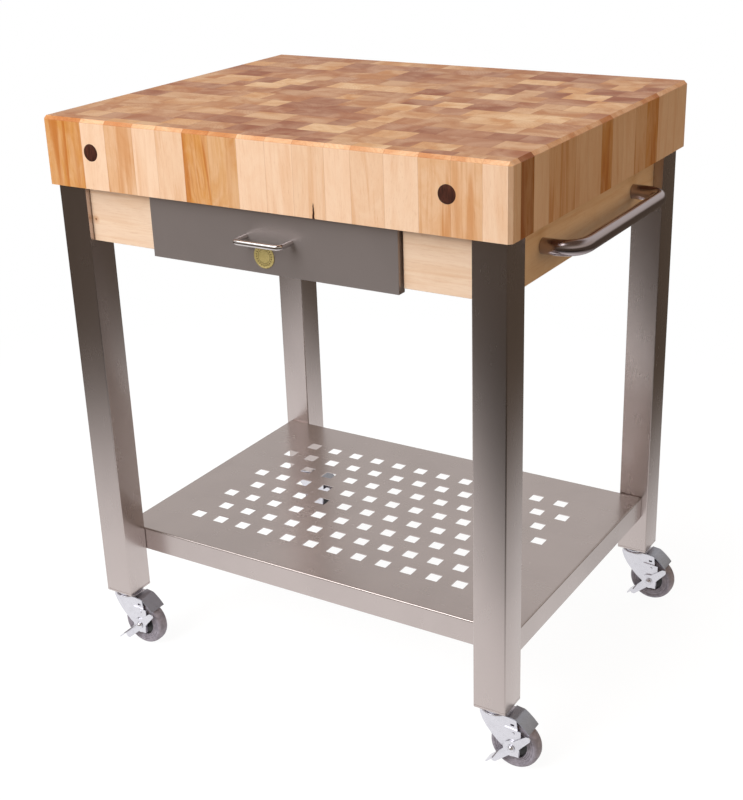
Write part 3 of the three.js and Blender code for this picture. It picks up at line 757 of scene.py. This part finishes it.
def build_leg(corner, material):
    """A square tube with rounded corners, and the plate welded across its lower end."""
    node = f"leg_{corner}"
    lo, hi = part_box(node)

    def ring(z, inset):
        points = rounded_rectangle(
            lo.x + inset, hi.x - inset, lo.y + inset, hi.y - inset, max(LEG_CORNER - inset, 0.8 * MM))
        return [Vector((x, y, z)) for x, y in points]

    centre = (lo + hi) / 2
    count = len(ring(0, 0))

    def hole(z):
        turns = [math.radians(360 * (i + 0.5) / count) for i in range(count)]
        return [
            Vector((centre.x + STEM_HOLE * math.cos(t), centre.y + STEM_HOLE * math.sin(t), z))
            for t in turns
        ]

    lip = 0.5 * MM
    seam = 0.45 * MM
    joint = lo.z + LEG_PLATE + 0.6 * MM
    rings = [
        hole(lo.z), ring(lo.z, lip), ring(lo.z + lip * 0.3, lip * 0.3), ring(lo.z + lip, 0),
        ring(joint - seam, 0), ring(joint - seam / 2, seam),
        ring(joint + seam / 2, seam), ring(joint + seam, 0),
        ring(hi.z, 0), ring(hi.z, LEG_WALL), ring(lo.z + LEG_PLATE, LEG_WALL), hole(lo.z + LEG_PLATE),
    ]
    bm = bmesh.new()
    rings_to_mesh(bm, rings, closed_along=True)
    finish_piece(f"{node}_tube", bm, [material], "cart_frame", [node], angle=40)


def build_boards(front_material, side_material):
    for node in ("front_apron_left", "front_apron_right", "back_apron"):
        refined(node, front_material, "cart_frame", 0.8 * MM, 3)
    for node in ("side_apron_left", "side_apron_right"):
        refined(node, side_material, "cart_frame", 0.8 * MM, 3)


def build_badge(material):
    lo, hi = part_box("drawer_badge")
    centre = (lo + hi) / 2
    half = (hi.y - lo.y) / 2
    radius = (hi.z - lo.z) / 2
    raised = 0.25 * MM
    profile = [
        (radius * 0.02, -half), (radius, -half), (radius, half - raised), (radius - 0.3 * MM, half),
        (radius - 1.6 * MM, half), (radius - 2.0 * MM, half - raised), (radius * 0.02, half - raised),
    ]
    bm = bmesh.new()
    turned(bm, centre, -Y_AXIS, profile)
    finish_piece("drawer_badge_disc", bm, [material], "drawer", ["drawer_badge"])


HANDLE_BEND = 9 * MM


def build_handle(material):
    lo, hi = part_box("drawer_handle")
    radius = (hi.z - lo.z) / 2
    foot = Vector(((lo.x + hi.x) / 2, hi.y, (lo.z + hi.z) / 2))
    spacing = hi.x - lo.x - 2 * radius
    path = bridge_path(foot, X_AXIS, -Y_AXIS, spacing, hi.y - lo.y - radius, HANDLE_BEND)
    bm = bmesh.new()
    tube(bm, path, radius, Z_AXIS)
    finish_piece("drawer_handle_wire", bm, [material], "drawer", ["drawer_handle"])


BAR_BEND = 36 * MM


def build_towel_bar(material):
    lo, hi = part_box("towel_bar")
    radius = (hi.z - lo.z) / 2
    foot = Vector((lo.x, (lo.y + hi.y) / 2, (lo.z + hi.z) / 2))
    spacing = hi.y - lo.y - 2 * radius
    path = bridge_path(foot, Y_AXIS, X_AXIS, spacing, hi.x - lo.x - radius, BAR_BEND, steps=20)
    bm = bmesh.new()
    tube(bm, path, radius, Z_AXIS, sides=40, hollow=1.5 * MM)
    finish_piece("towel_bar_tube", bm, [material], "cart_frame", ["towel_bar"])


# ---- shelf -------------------------------------------------------------------------------------

SHELF_SHEET = 1.5 * MM
SHELF_FOLD = 2.5 * MM
SHELF_CORNER = 2.6 * MM
HOLE_SIZE = 21 * MM
HOLE_ROWS = 8
HOLES_IN_LONG_ROW = 13
HOLES_FROM_END = 88.4 * MM
HOLES_FROM_FRONT = 85.2 * MM
HOLE_CORNER = 0.8 * MM


def hole_centres(lo, hi):
    pitch_x = (hi.x - lo.x - 2 * HOLES_FROM_END) / (HOLES_IN_LONG_ROW - 1)
    pitch_y = (hi.y - lo.y - 2 * HOLES_FROM_FRONT) / (HOLE_ROWS - 1)
    for row in range(HOLE_ROWS):
        count = HOLES_IN_LONG_ROW - row % 2
        for column in range(count):
            yield (
                (lo.x + hi.x) / 2 + (column - (count - 1) / 2) * pitch_x,
                (lo.y + hi.y) / 2 + (row - (HOLE_ROWS - 1) / 2) * pitch_y,
            )


def build_shelf(material):
    """A folded steel tray: a punched top, a round fold and a flange all the way round."""
    lo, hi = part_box("shelf")
    bm = bmesh.new()

    def ring(inset, z):
        points = rounded_rectangle(
            lo.x + inset, hi.x - inset, lo.y + inset, hi.y - inset, max(SHELF_CORNER - inset, 0.3 * MM), 4)
        return [Vector((x, y, z)) for x, y in points]

    rings = []
    for i in range(5):
        turn = math.pi / 2 * i / 4
        rings.append(ring(SHELF_FOLD * (1 - math.sin(turn)), hi.z - SHELF_FOLD * (1 - math.cos(turn))))
    rings.append(ring(0, lo.z))
    made = rings_to_mesh(bm, rings, caps=False)
    loops = [made[0]]
    half = HOLE_SIZE / 2
    for x, y in hole_centres(lo, hi):
        outline = rounded_rectangle(x - half, x + half, y - half, y + half, HOLE_CORNER, 2)
        loops.append([bm.verts.new((px, py, hi.z)) for px, py in outline])
    edges = []
    for loop in loops:
        for a, b in zip(loop, loop[1:] + loop[:1]):
            edges.append(bm.edges.get((a, b)) or bm.edges.new((a, b)))
    bmesh.ops.triangle_fill(bm, use_beauty=True, use_dissolve=False, edges=edges, normal=(0, 0, 1))
    mesh = bpy.data.meshes.new("shelf_sheet")
    bmesh.ops.recalc_face_normals(bm, faces=bm.faces[:])
    if max(bm.faces, key=lambda face: face.calc_area()).normal.z < 0:
        bmesh.ops.reverse_faces(bm, faces=bm.faces[:])
    bm.to_mesh(mesh)
    bm.free()
    sheet = bpy.data.objects.new("shelf_sheet", mesh)
    bpy.context.scene.collection.objects.link(sheet)
    thickness = sheet.modifiers.new("thickness", "SOLIDIFY")
    thickness.thickness = SHELF_SHEET
    thickness.offset = -1
    solid = bmesh.new()
    solid.from_mesh(shaped(sheet))
    shelf = finish_piece(
        "shelf_tray", solid, [material], "cart_frame", ["shelf"], angle=40)
    weigh_normals(shelf)


# ---- casters -----------------------------------------------------------------------------------

# The bead rolled round the fork's crown: its distance from the swivel axis, height and half thickness.
BEAD_RADIUS = 21.2 * MM
BEAD_HEIGHT = 87 * MM
BEAD_THICKNESS = 1.4 * MM
BEAD_SIDES = 12
# The brake shoe: its sheet, the length and drop of its strap, how far its end stops short of the
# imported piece's box, and the slope it ends at. The dropped strap cuts into the crown below it.
SHOE_SHEET = 1.6 * MM
SHOE_STRAP = 13.0 * MM
SHOE_DROP = 1.6 * MM
SHOE_BACK = 1.5 * MM
SHOE_ENDS_AT = math.radians(36)
SHOE_STEPS = 16


def build_tread(corner, material):
    node = f"wheel_tread_{corner}"
    lo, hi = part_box(node)
    centre = (lo + hi) / 2
    half = (hi.y - lo.y) / 2
    radius = (hi.z - lo.z) / 2
    inner = 26.3 * MM
    lip = 20.5 * MM
    face = half - 0.6 * MM
    groove = 0.5 * MM
    outside = [
        (inner, half - 2.3 * MM), (lip, half - 2.3 * MM), (lip, face - 0.8 * MM), (lip + 0.8 * MM, face),
    ]
    for middle in (23.2 * MM, 26.0 * MM, 29.6 * MM):
        outside += [
            (middle - groove, face), (middle - 0.3 * groove, face - groove),
            (middle + 0.3 * groove, face - groove), (middle + groove, face),
        ]
    outside += [
        (radius - 5 * MM, half), (radius - 3.2 * MM, half - 0.7 * MM),
        (radius - 1.6 * MM, half - 2.2 * MM), (radius - 0.5 * MM, half - 4.4 * MM), (radius, half - 7 * MM),
    ]
    inside = [(r, -along) for r, along in outside[::-1]]
    bm = bmesh.new()
    turned(bm, centre, -Y_AXIS, outside + inside, sides=96, closed=True)
    finish_piece(f"{node}_rubber", bm, [material], f"wheel_{corner}", [node], angle=45)


def build_core(corner, material):
    node = f"wheel_core_{corner}"
    lo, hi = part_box(node)
    centre = (lo + hi) / 2
    half = (hi.y - lo.y) / 2
    radius = (hi.z - lo.z) / 2
    bore = 4.3 * MM
    face = half - 4.2 * MM
    outside = [
        (bore, half), (9 * MM, half), (10 * MM, half - 1 * MM), (11 * MM, face - 1 * MM),
        (20 * MM, face - 1.8 * MM), (22 * MM, face), (radius - 0.5 * MM, face + 0.3 * MM), (radius, face),
    ]
    inside = [(r, -along) for r, along in outside[::-1]]
    bm = bmesh.new()
    turned(bm, centre, -Y_AXIS, outside + inside, closed=True)
    finish_piece(f"{node}_moulded", bm, [material], f"wheel_{corner}", [node], 0.3 * MM)


def build_axle(corner, material):
    """The axle bolt: a domed nut on the lever's side, and a plain head at the back."""
    node = f"wheel_axle_{corner}"
    lo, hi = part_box(node)
    centre = Vector(((lo.x + hi.x) / 2, 0, (lo.z + hi.z) / 2))
    shaft = 4 * MM
    head = 6.5 * MM
    profile = [
        (0.05 * MM, lo.y), (1.6 * MM, lo.y + 0.1 * MM), (3.1 * MM, lo.y + 0.8 * MM),
        (4.4 * MM, lo.y + 1.8 * MM),
        (5.2 * MM, lo.y + 3.0 * MM), (5.4 * MM, lo.y + 3.9 * MM), (6.3 * MM, lo.y + 4.1 * MM),
        (6.3 * MM, lo.y + 5 * MM), (shaft, lo.y + 5 * MM), (shaft, hi.y - 4 * MM), (head, hi.y - 4 * MM),
        (head, hi.y - 0.6 * MM), (head - 0.7 * MM, hi.y), (0.05 * MM, hi.y),
    ]
    bm = bmesh.new()
    turned(bm, centre, Y_AXIS, profile)
    finish_piece(f"{node}_turned", bm, [material], f"fork_{corner}", [node])


def build_stem(corner, material):
    refined(f"caster_stem_{corner}", material, "cart_frame", 0.8 * MM, 3, angle=50)


def build_fork(corner, material):
    """The pressed fork, with the bead that is rolled round its crown."""
    node = f"caster_fork_{corner}"
    stem_lo, stem_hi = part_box(f"caster_stem_{corner}")
    centre = (stem_lo + stem_hi) / 2
    bm = merged(node)
    ring = [
        (
            BEAD_RADIUS + BEAD_THICKNESS * math.cos(turn),
            BEAD_HEIGHT - centre.z + BEAD_THICKNESS * math.sin(turn),
        )
        for turn in (2 * math.pi * i / BEAD_SIDES for i in range(BEAD_SIDES))
    ]
    turned(bm, centre, Z_AXIS, ring, closed=True)
    finish_piece(f"{node}_finished", bm, [material], f"fork_{corner}", [node], 0.7 * MM, 3)


def build_shoe(corner, material):
    """The brake shoe: a flat strap off the crown that bends over and curves down over the tyre."""
    node = f"brake_shoe_{corner}"
    lo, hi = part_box(node)
    half = SHOE_SHEET / 2
    down = Vector((math.sin(SHOE_ENDS_AT), 0, -math.cos(SHOE_ENDS_AT)))
    start = Vector((lo.x, 0, hi.z - half))
    knee = start + X_AXIS * SHOE_STRAP - Z_AXIS * SHOE_DROP
    end = Vector((hi.x - SHOE_BACK, 0, lo.z + SHOE_BACK))
    one = knee + X_AXIS * 5 * MM - Z_AXIS * 2 * MM
    two = end - down * 8 * MM
    path = [start, start + (knee - start) * 0.5]
    for i in range(SHOE_STEPS + 1):
        t = i / SHOE_STEPS
        near = (1 - t) ** 3 * knee + 3 * t * (1 - t) ** 2 * one
        path.append(near + 3 * t ** 2 * (1 - t) * two + t ** 3 * end)
    rings = []
    for i, point in enumerate(path):
        ahead = (path[min(i + 1, len(path) - 1)] - path[max(i - 1, 0)]).normalized()
        out = Vector((-ahead.z, 0, ahead.x)) * half
        rings.append([
            Vector((point.x + side * out.x, y, point.z + side * out.z))
            for side, y in ((1, lo.y), (1, hi.y), (-1, hi.y), (-1, lo.y))
        ])
    bm = bmesh.new()
    rings_to_mesh(bm, rings)
    finish_piece(f"{node}_curved", bm, [material], f"shoe_{corner}", [node], 0.5 * MM, 3, angle=40)


def build_lever(corner, material):
    refined(f"brake_lever_{corner}", material, f"lever_{corner}", 0.5 * MM, 3)


# ---- stage -------------------------------------------------------------------------------------

FLOOR_RADIUS = 2.0
# The floor's glow is painted light, full out to BRIGHT_OUT_TO from LIT_MIDDLE, and fades into painted shade
# by DARK_BEYOND.
BRIGHT_OUT_TO = 0.5
DARK_BEYOND = 1.7
LIT_MIDDLE = (-0.26, -0.10, 0.0)
# The side the camera stands on, as a fixed direction. The floor glows less towards it.
CAMERA_SIDE = (0.53, -0.85, 0.0)
CAMERA_SIDE_FADES = (0.55, 1.2)
ROOM_SHADE = (0.100, 0.077, 0.058)
FLOOR_SHADE = (0.008, 0.006, 0.005)
FLOOR_GLOW = (0.92, 0.92, 0.92)
FLOOR_SHOWN = (0.93, 0.93, 0.93)
FLOOR_PAINT = (0.11, 0.11, 0.11)
WHITE = (1.0, 1.0, 1.0)
BLACK = (0.0, 0.0, 0.0)


def add_floor():
    """A pale floor that glows: painted light round the cart, and painted shade further out and on the
    camera's side.
    """
    finish = Finish("pale_floor")
    away = finish.add(
        "VectorMath", {0: finish.place(), 1: LIT_MIDDLE}, operation="DISTANCE").outputs["Value"]
    lit = finish.ranged(away, BRIGHT_OUT_TO, DARK_BEYOND, 1.0, 0.0)
    seen = finish.add("LightPath").outputs["Is Camera Ray"]
    aside = finish.add("VectorMath", {0: finish.place(), 1: CAMERA_SIDE}, operation="DOT_PRODUCT")
    shaded = finish.ranged(aside.outputs["Value"], *CAMERA_SIDE_FADES, 0.0, 0.85)
    # What all but camera rays see of the floor is painted light round the cart and painted shade further out.
    glow = finish.mixed(lit, ROOM_SHADE, FLOOR_GLOW)
    shown = finish.mixed(lit, WHITE, FLOOR_SHOWN)
    # The floor's own colour also fades to black further out: painted shade.
    finish.set(Base_Color=finish.mixed(lit, BLACK, FLOOR_PAINT), Roughness=0.9)
    dimmed = finish.mixed(shaded, glow, FLOOR_SHADE)
    finish.set(Emission_Color=finish.mixed(seen, dimmed, shown))
    finish.shader.inputs["Specular IOR Level"].default_value = 0.0
    finish.shader.inputs["Emission Strength"].default_value = 1.0
    bm = bmesh.new()
    bmesh.ops.create_circle(bm, cap_ends=True, segments=128, radius=FLOOR_RADIUS)
    mesh = bpy.data.meshes.new("floor")
    bm.to_mesh(mesh)
    bm.free()
    mesh.materials.append(finish.material)
    floor = bpy.data.objects.new("floor", mesh)
    bpy.context.scene.collection.objects.link(floor)


SOFTBOX_SIDE = (-0.30, -0.50, 0.81)
SOFTBOX_GLOW = (4.0, 4.0, 4.0)
FRONT_OF_ROOM = (0.26, 0.22, 0.18)
BACK_OF_ROOM = (0.75, 0.73, 0.71)
LEFT_OF_ROOM = (0.70, 0.68, 0.66)
# Mirror rays see a cooler right side than the one that lights the cart.
RIGHT_LIGHT = (1.12, 0.77, 0.40)
RIGHT_MIRRORED = (0.62, 0.57, 0.51)
CEILING = (0.16, 0.11, 0.08)


class Sky:
    """The world's nodes in the making."""

    def __init__(self, name):
        self.world = bpy.data.worlds.new(name)
        self.world.use_nodes = True
        self.tree = self.world.node_tree
        self.tree.nodes.clear()

    add = Finish.add
    feed = Finish.feed
    math = Finish.math
    ranged = Finish.ranged
    mixed = Finish.mixed


def add_world():
    """A white room to look at, and for everything else a studio: pale behind the cart, warm to its
    right, and in shade low down."""
    sky = Sky("studio")
    bpy.context.scene.world = sky.world
    direction = sky.add("TexCoord").outputs["Generated"]
    x, y, z = sky.add("SeparateXYZ", {0: direction}).outputs
    behind = sky.ranged(y, -0.2, 0.7)
    right = sky.ranged(x, 0.05, 0.75)
    above = sky.ranged(z, 0.0, 0.22)
    left = sky.ranged(x, -0.3, -0.7)
    low = sky.ranged(z, 0.45, 0.62, 1.0, 0.0)
    back = sky.mixed(behind, FRONT_OF_ROOM, BACK_OF_ROOM)
    room = sky.mixed(left, back, LEFT_OF_ROOM)
    rays = sky.add("LightPath").outputs
    warm = sky.mixed(rays["Is Glossy Ray"], RIGHT_LIGHT, RIGHT_MIRRORED)
    sided = sky.mixed(sky.math("MULTIPLY", right, low), room, warm)
    towards = sky.add(
        "VectorMath", {0: direction, 1: SOFTBOX_SIDE}, operation="DOT_PRODUCT").outputs["Value"]
    ceiling = sky.mixed(sky.ranged(z, 0.62, 0.85), sided, CEILING)
    boxed = sky.mixed(sky.ranged(towards, 0.91, 0.94), ceiling, SOFTBOX_GLOW)
    light = sky.mixed(above, ROOM_SHADE, boxed)
    shown = sky.mixed(rays["Is Camera Ray"], light, WHITE)
    out = sky.add("OutputWorld")
    sky.feed(out.inputs[0], sky.add("Background", {"Color": shown, "Strength": 1.0}).outputs[0])


# Each light's name, place, the point it aims at and its size in metres, and its power in watts.
LIGHTS = (
    ("front_softbox", (-0.9, -2.7, 1.9), (0, 0, 0.75), (1.6, 1.3), 50),
    ("top_softbox", (-0.3, 0.1, 2.9), (0, 0, 0.8), (1.8, 1.8), 13),
)


def add_light(name, place, aim, size, power):
    data = bpy.data.lights.new(name, "AREA")
    data.shape = "RECTANGLE"
    data.size, data.size_y = size
    data.energy = power
    light = bpy.data.objects.new(name, data)
    light.location = place
    light.rotation_mode = "QUATERNION"
    light.rotation_quaternion = (Vector(aim) - Vector(place)).to_track_quat("-Z", "Y")
    light.visible_camera = False
    light.visible_glossy = False
    bpy.context.scene.collection.objects.link(light)


# ---- everything --------------------------------------------------------------------------------


def build_cart():
    steel = steel_finish("brushed_steel_tube", "c3b8b5", 0.27, (900, 900, 14))
    sheet = steel_finish("brushed_steel_sheet", "c3b8b5", 0.27, (14, 900, 900))
    drawer = steel_finish("satin_steel_drawer", "b4abaa", 0.34, (1000, 1000, 1000), 0.3, 0.7)
    polished = steel_finish("polished_steel", "d2cccb", 0.13, (60, 300, 300), 0.2)
    # The towel bar's steel is darker and pinker than the handle's: painted dark brown reflection, besides its
    # rougher satin finish.
    towel_steel_painted_dark = steel_finish("satin_steel_painted_dark", "b0a4a6", 0.19, (300, 60, 300), 0.2)
    zinc = plated_finish("bright_zinc", "dcdbe2", 0.24)
    shoe_zinc = plated_finish("dark_zinc", "a6a8b1", 0.30)
    walnut = walnut_finish()
    build_block(block_side_finish(), block_end_finish())
    for node in PLUGS:
        build_plug(node, walnut)
    for side in ("left", "right"):
        refined(f"tie_rod_{side}", zinc, "cart_frame", 0.4 * MM)
        refined(f"drawer_runner_{side}", sheet, "cart_frame", 0.3 * MM)
        refined(f"handle_screw_{side}", zinc, "drawer", 0.2 * MM)
    build_boards(
        apron_finish("maple_front_board", "eacdb3", True),
        apron_finish("maple_side_board", "e9c8a4", False),
    )
    refined("drawer_front", drawer, "drawer", 0.7 * MM, 3)
    refined("drawer_pan", sheet, "drawer", 0.5 * MM, 3)
    build_badge(gilt_finish())
    build_handle(polished)
    build_towel_bar(towel_steel_painted_dark)
    for end in ("front", "back"):
        refined(f"towel_bar_bolt_{end}", zinc, "cart_frame", 0.3 * MM)
    build_shelf(sheet)
    rubber = rubber_finish()
    plastic = plastic_finish()
    for corner in CORNERS:
        build_leg(corner, steel)
        refined(f"shelf_bolt_{corner}", zinc, "cart_frame", 0.3 * MM)
        build_tread(corner, rubber)
        build_core(corner, plastic)
        build_axle(corner, zinc)
        build_stem(corner, zinc)
        build_fork(corner, zinc)
        build_shoe(corner, shoe_zinc)
        build_lever(corner, zinc)


add_camera()
add_world()
for light_row in LIGHTS:
    add_light(*light_row)
add_floor()
build_cart()
bpy.context.scene.view_settings.view_transform = "Standard"
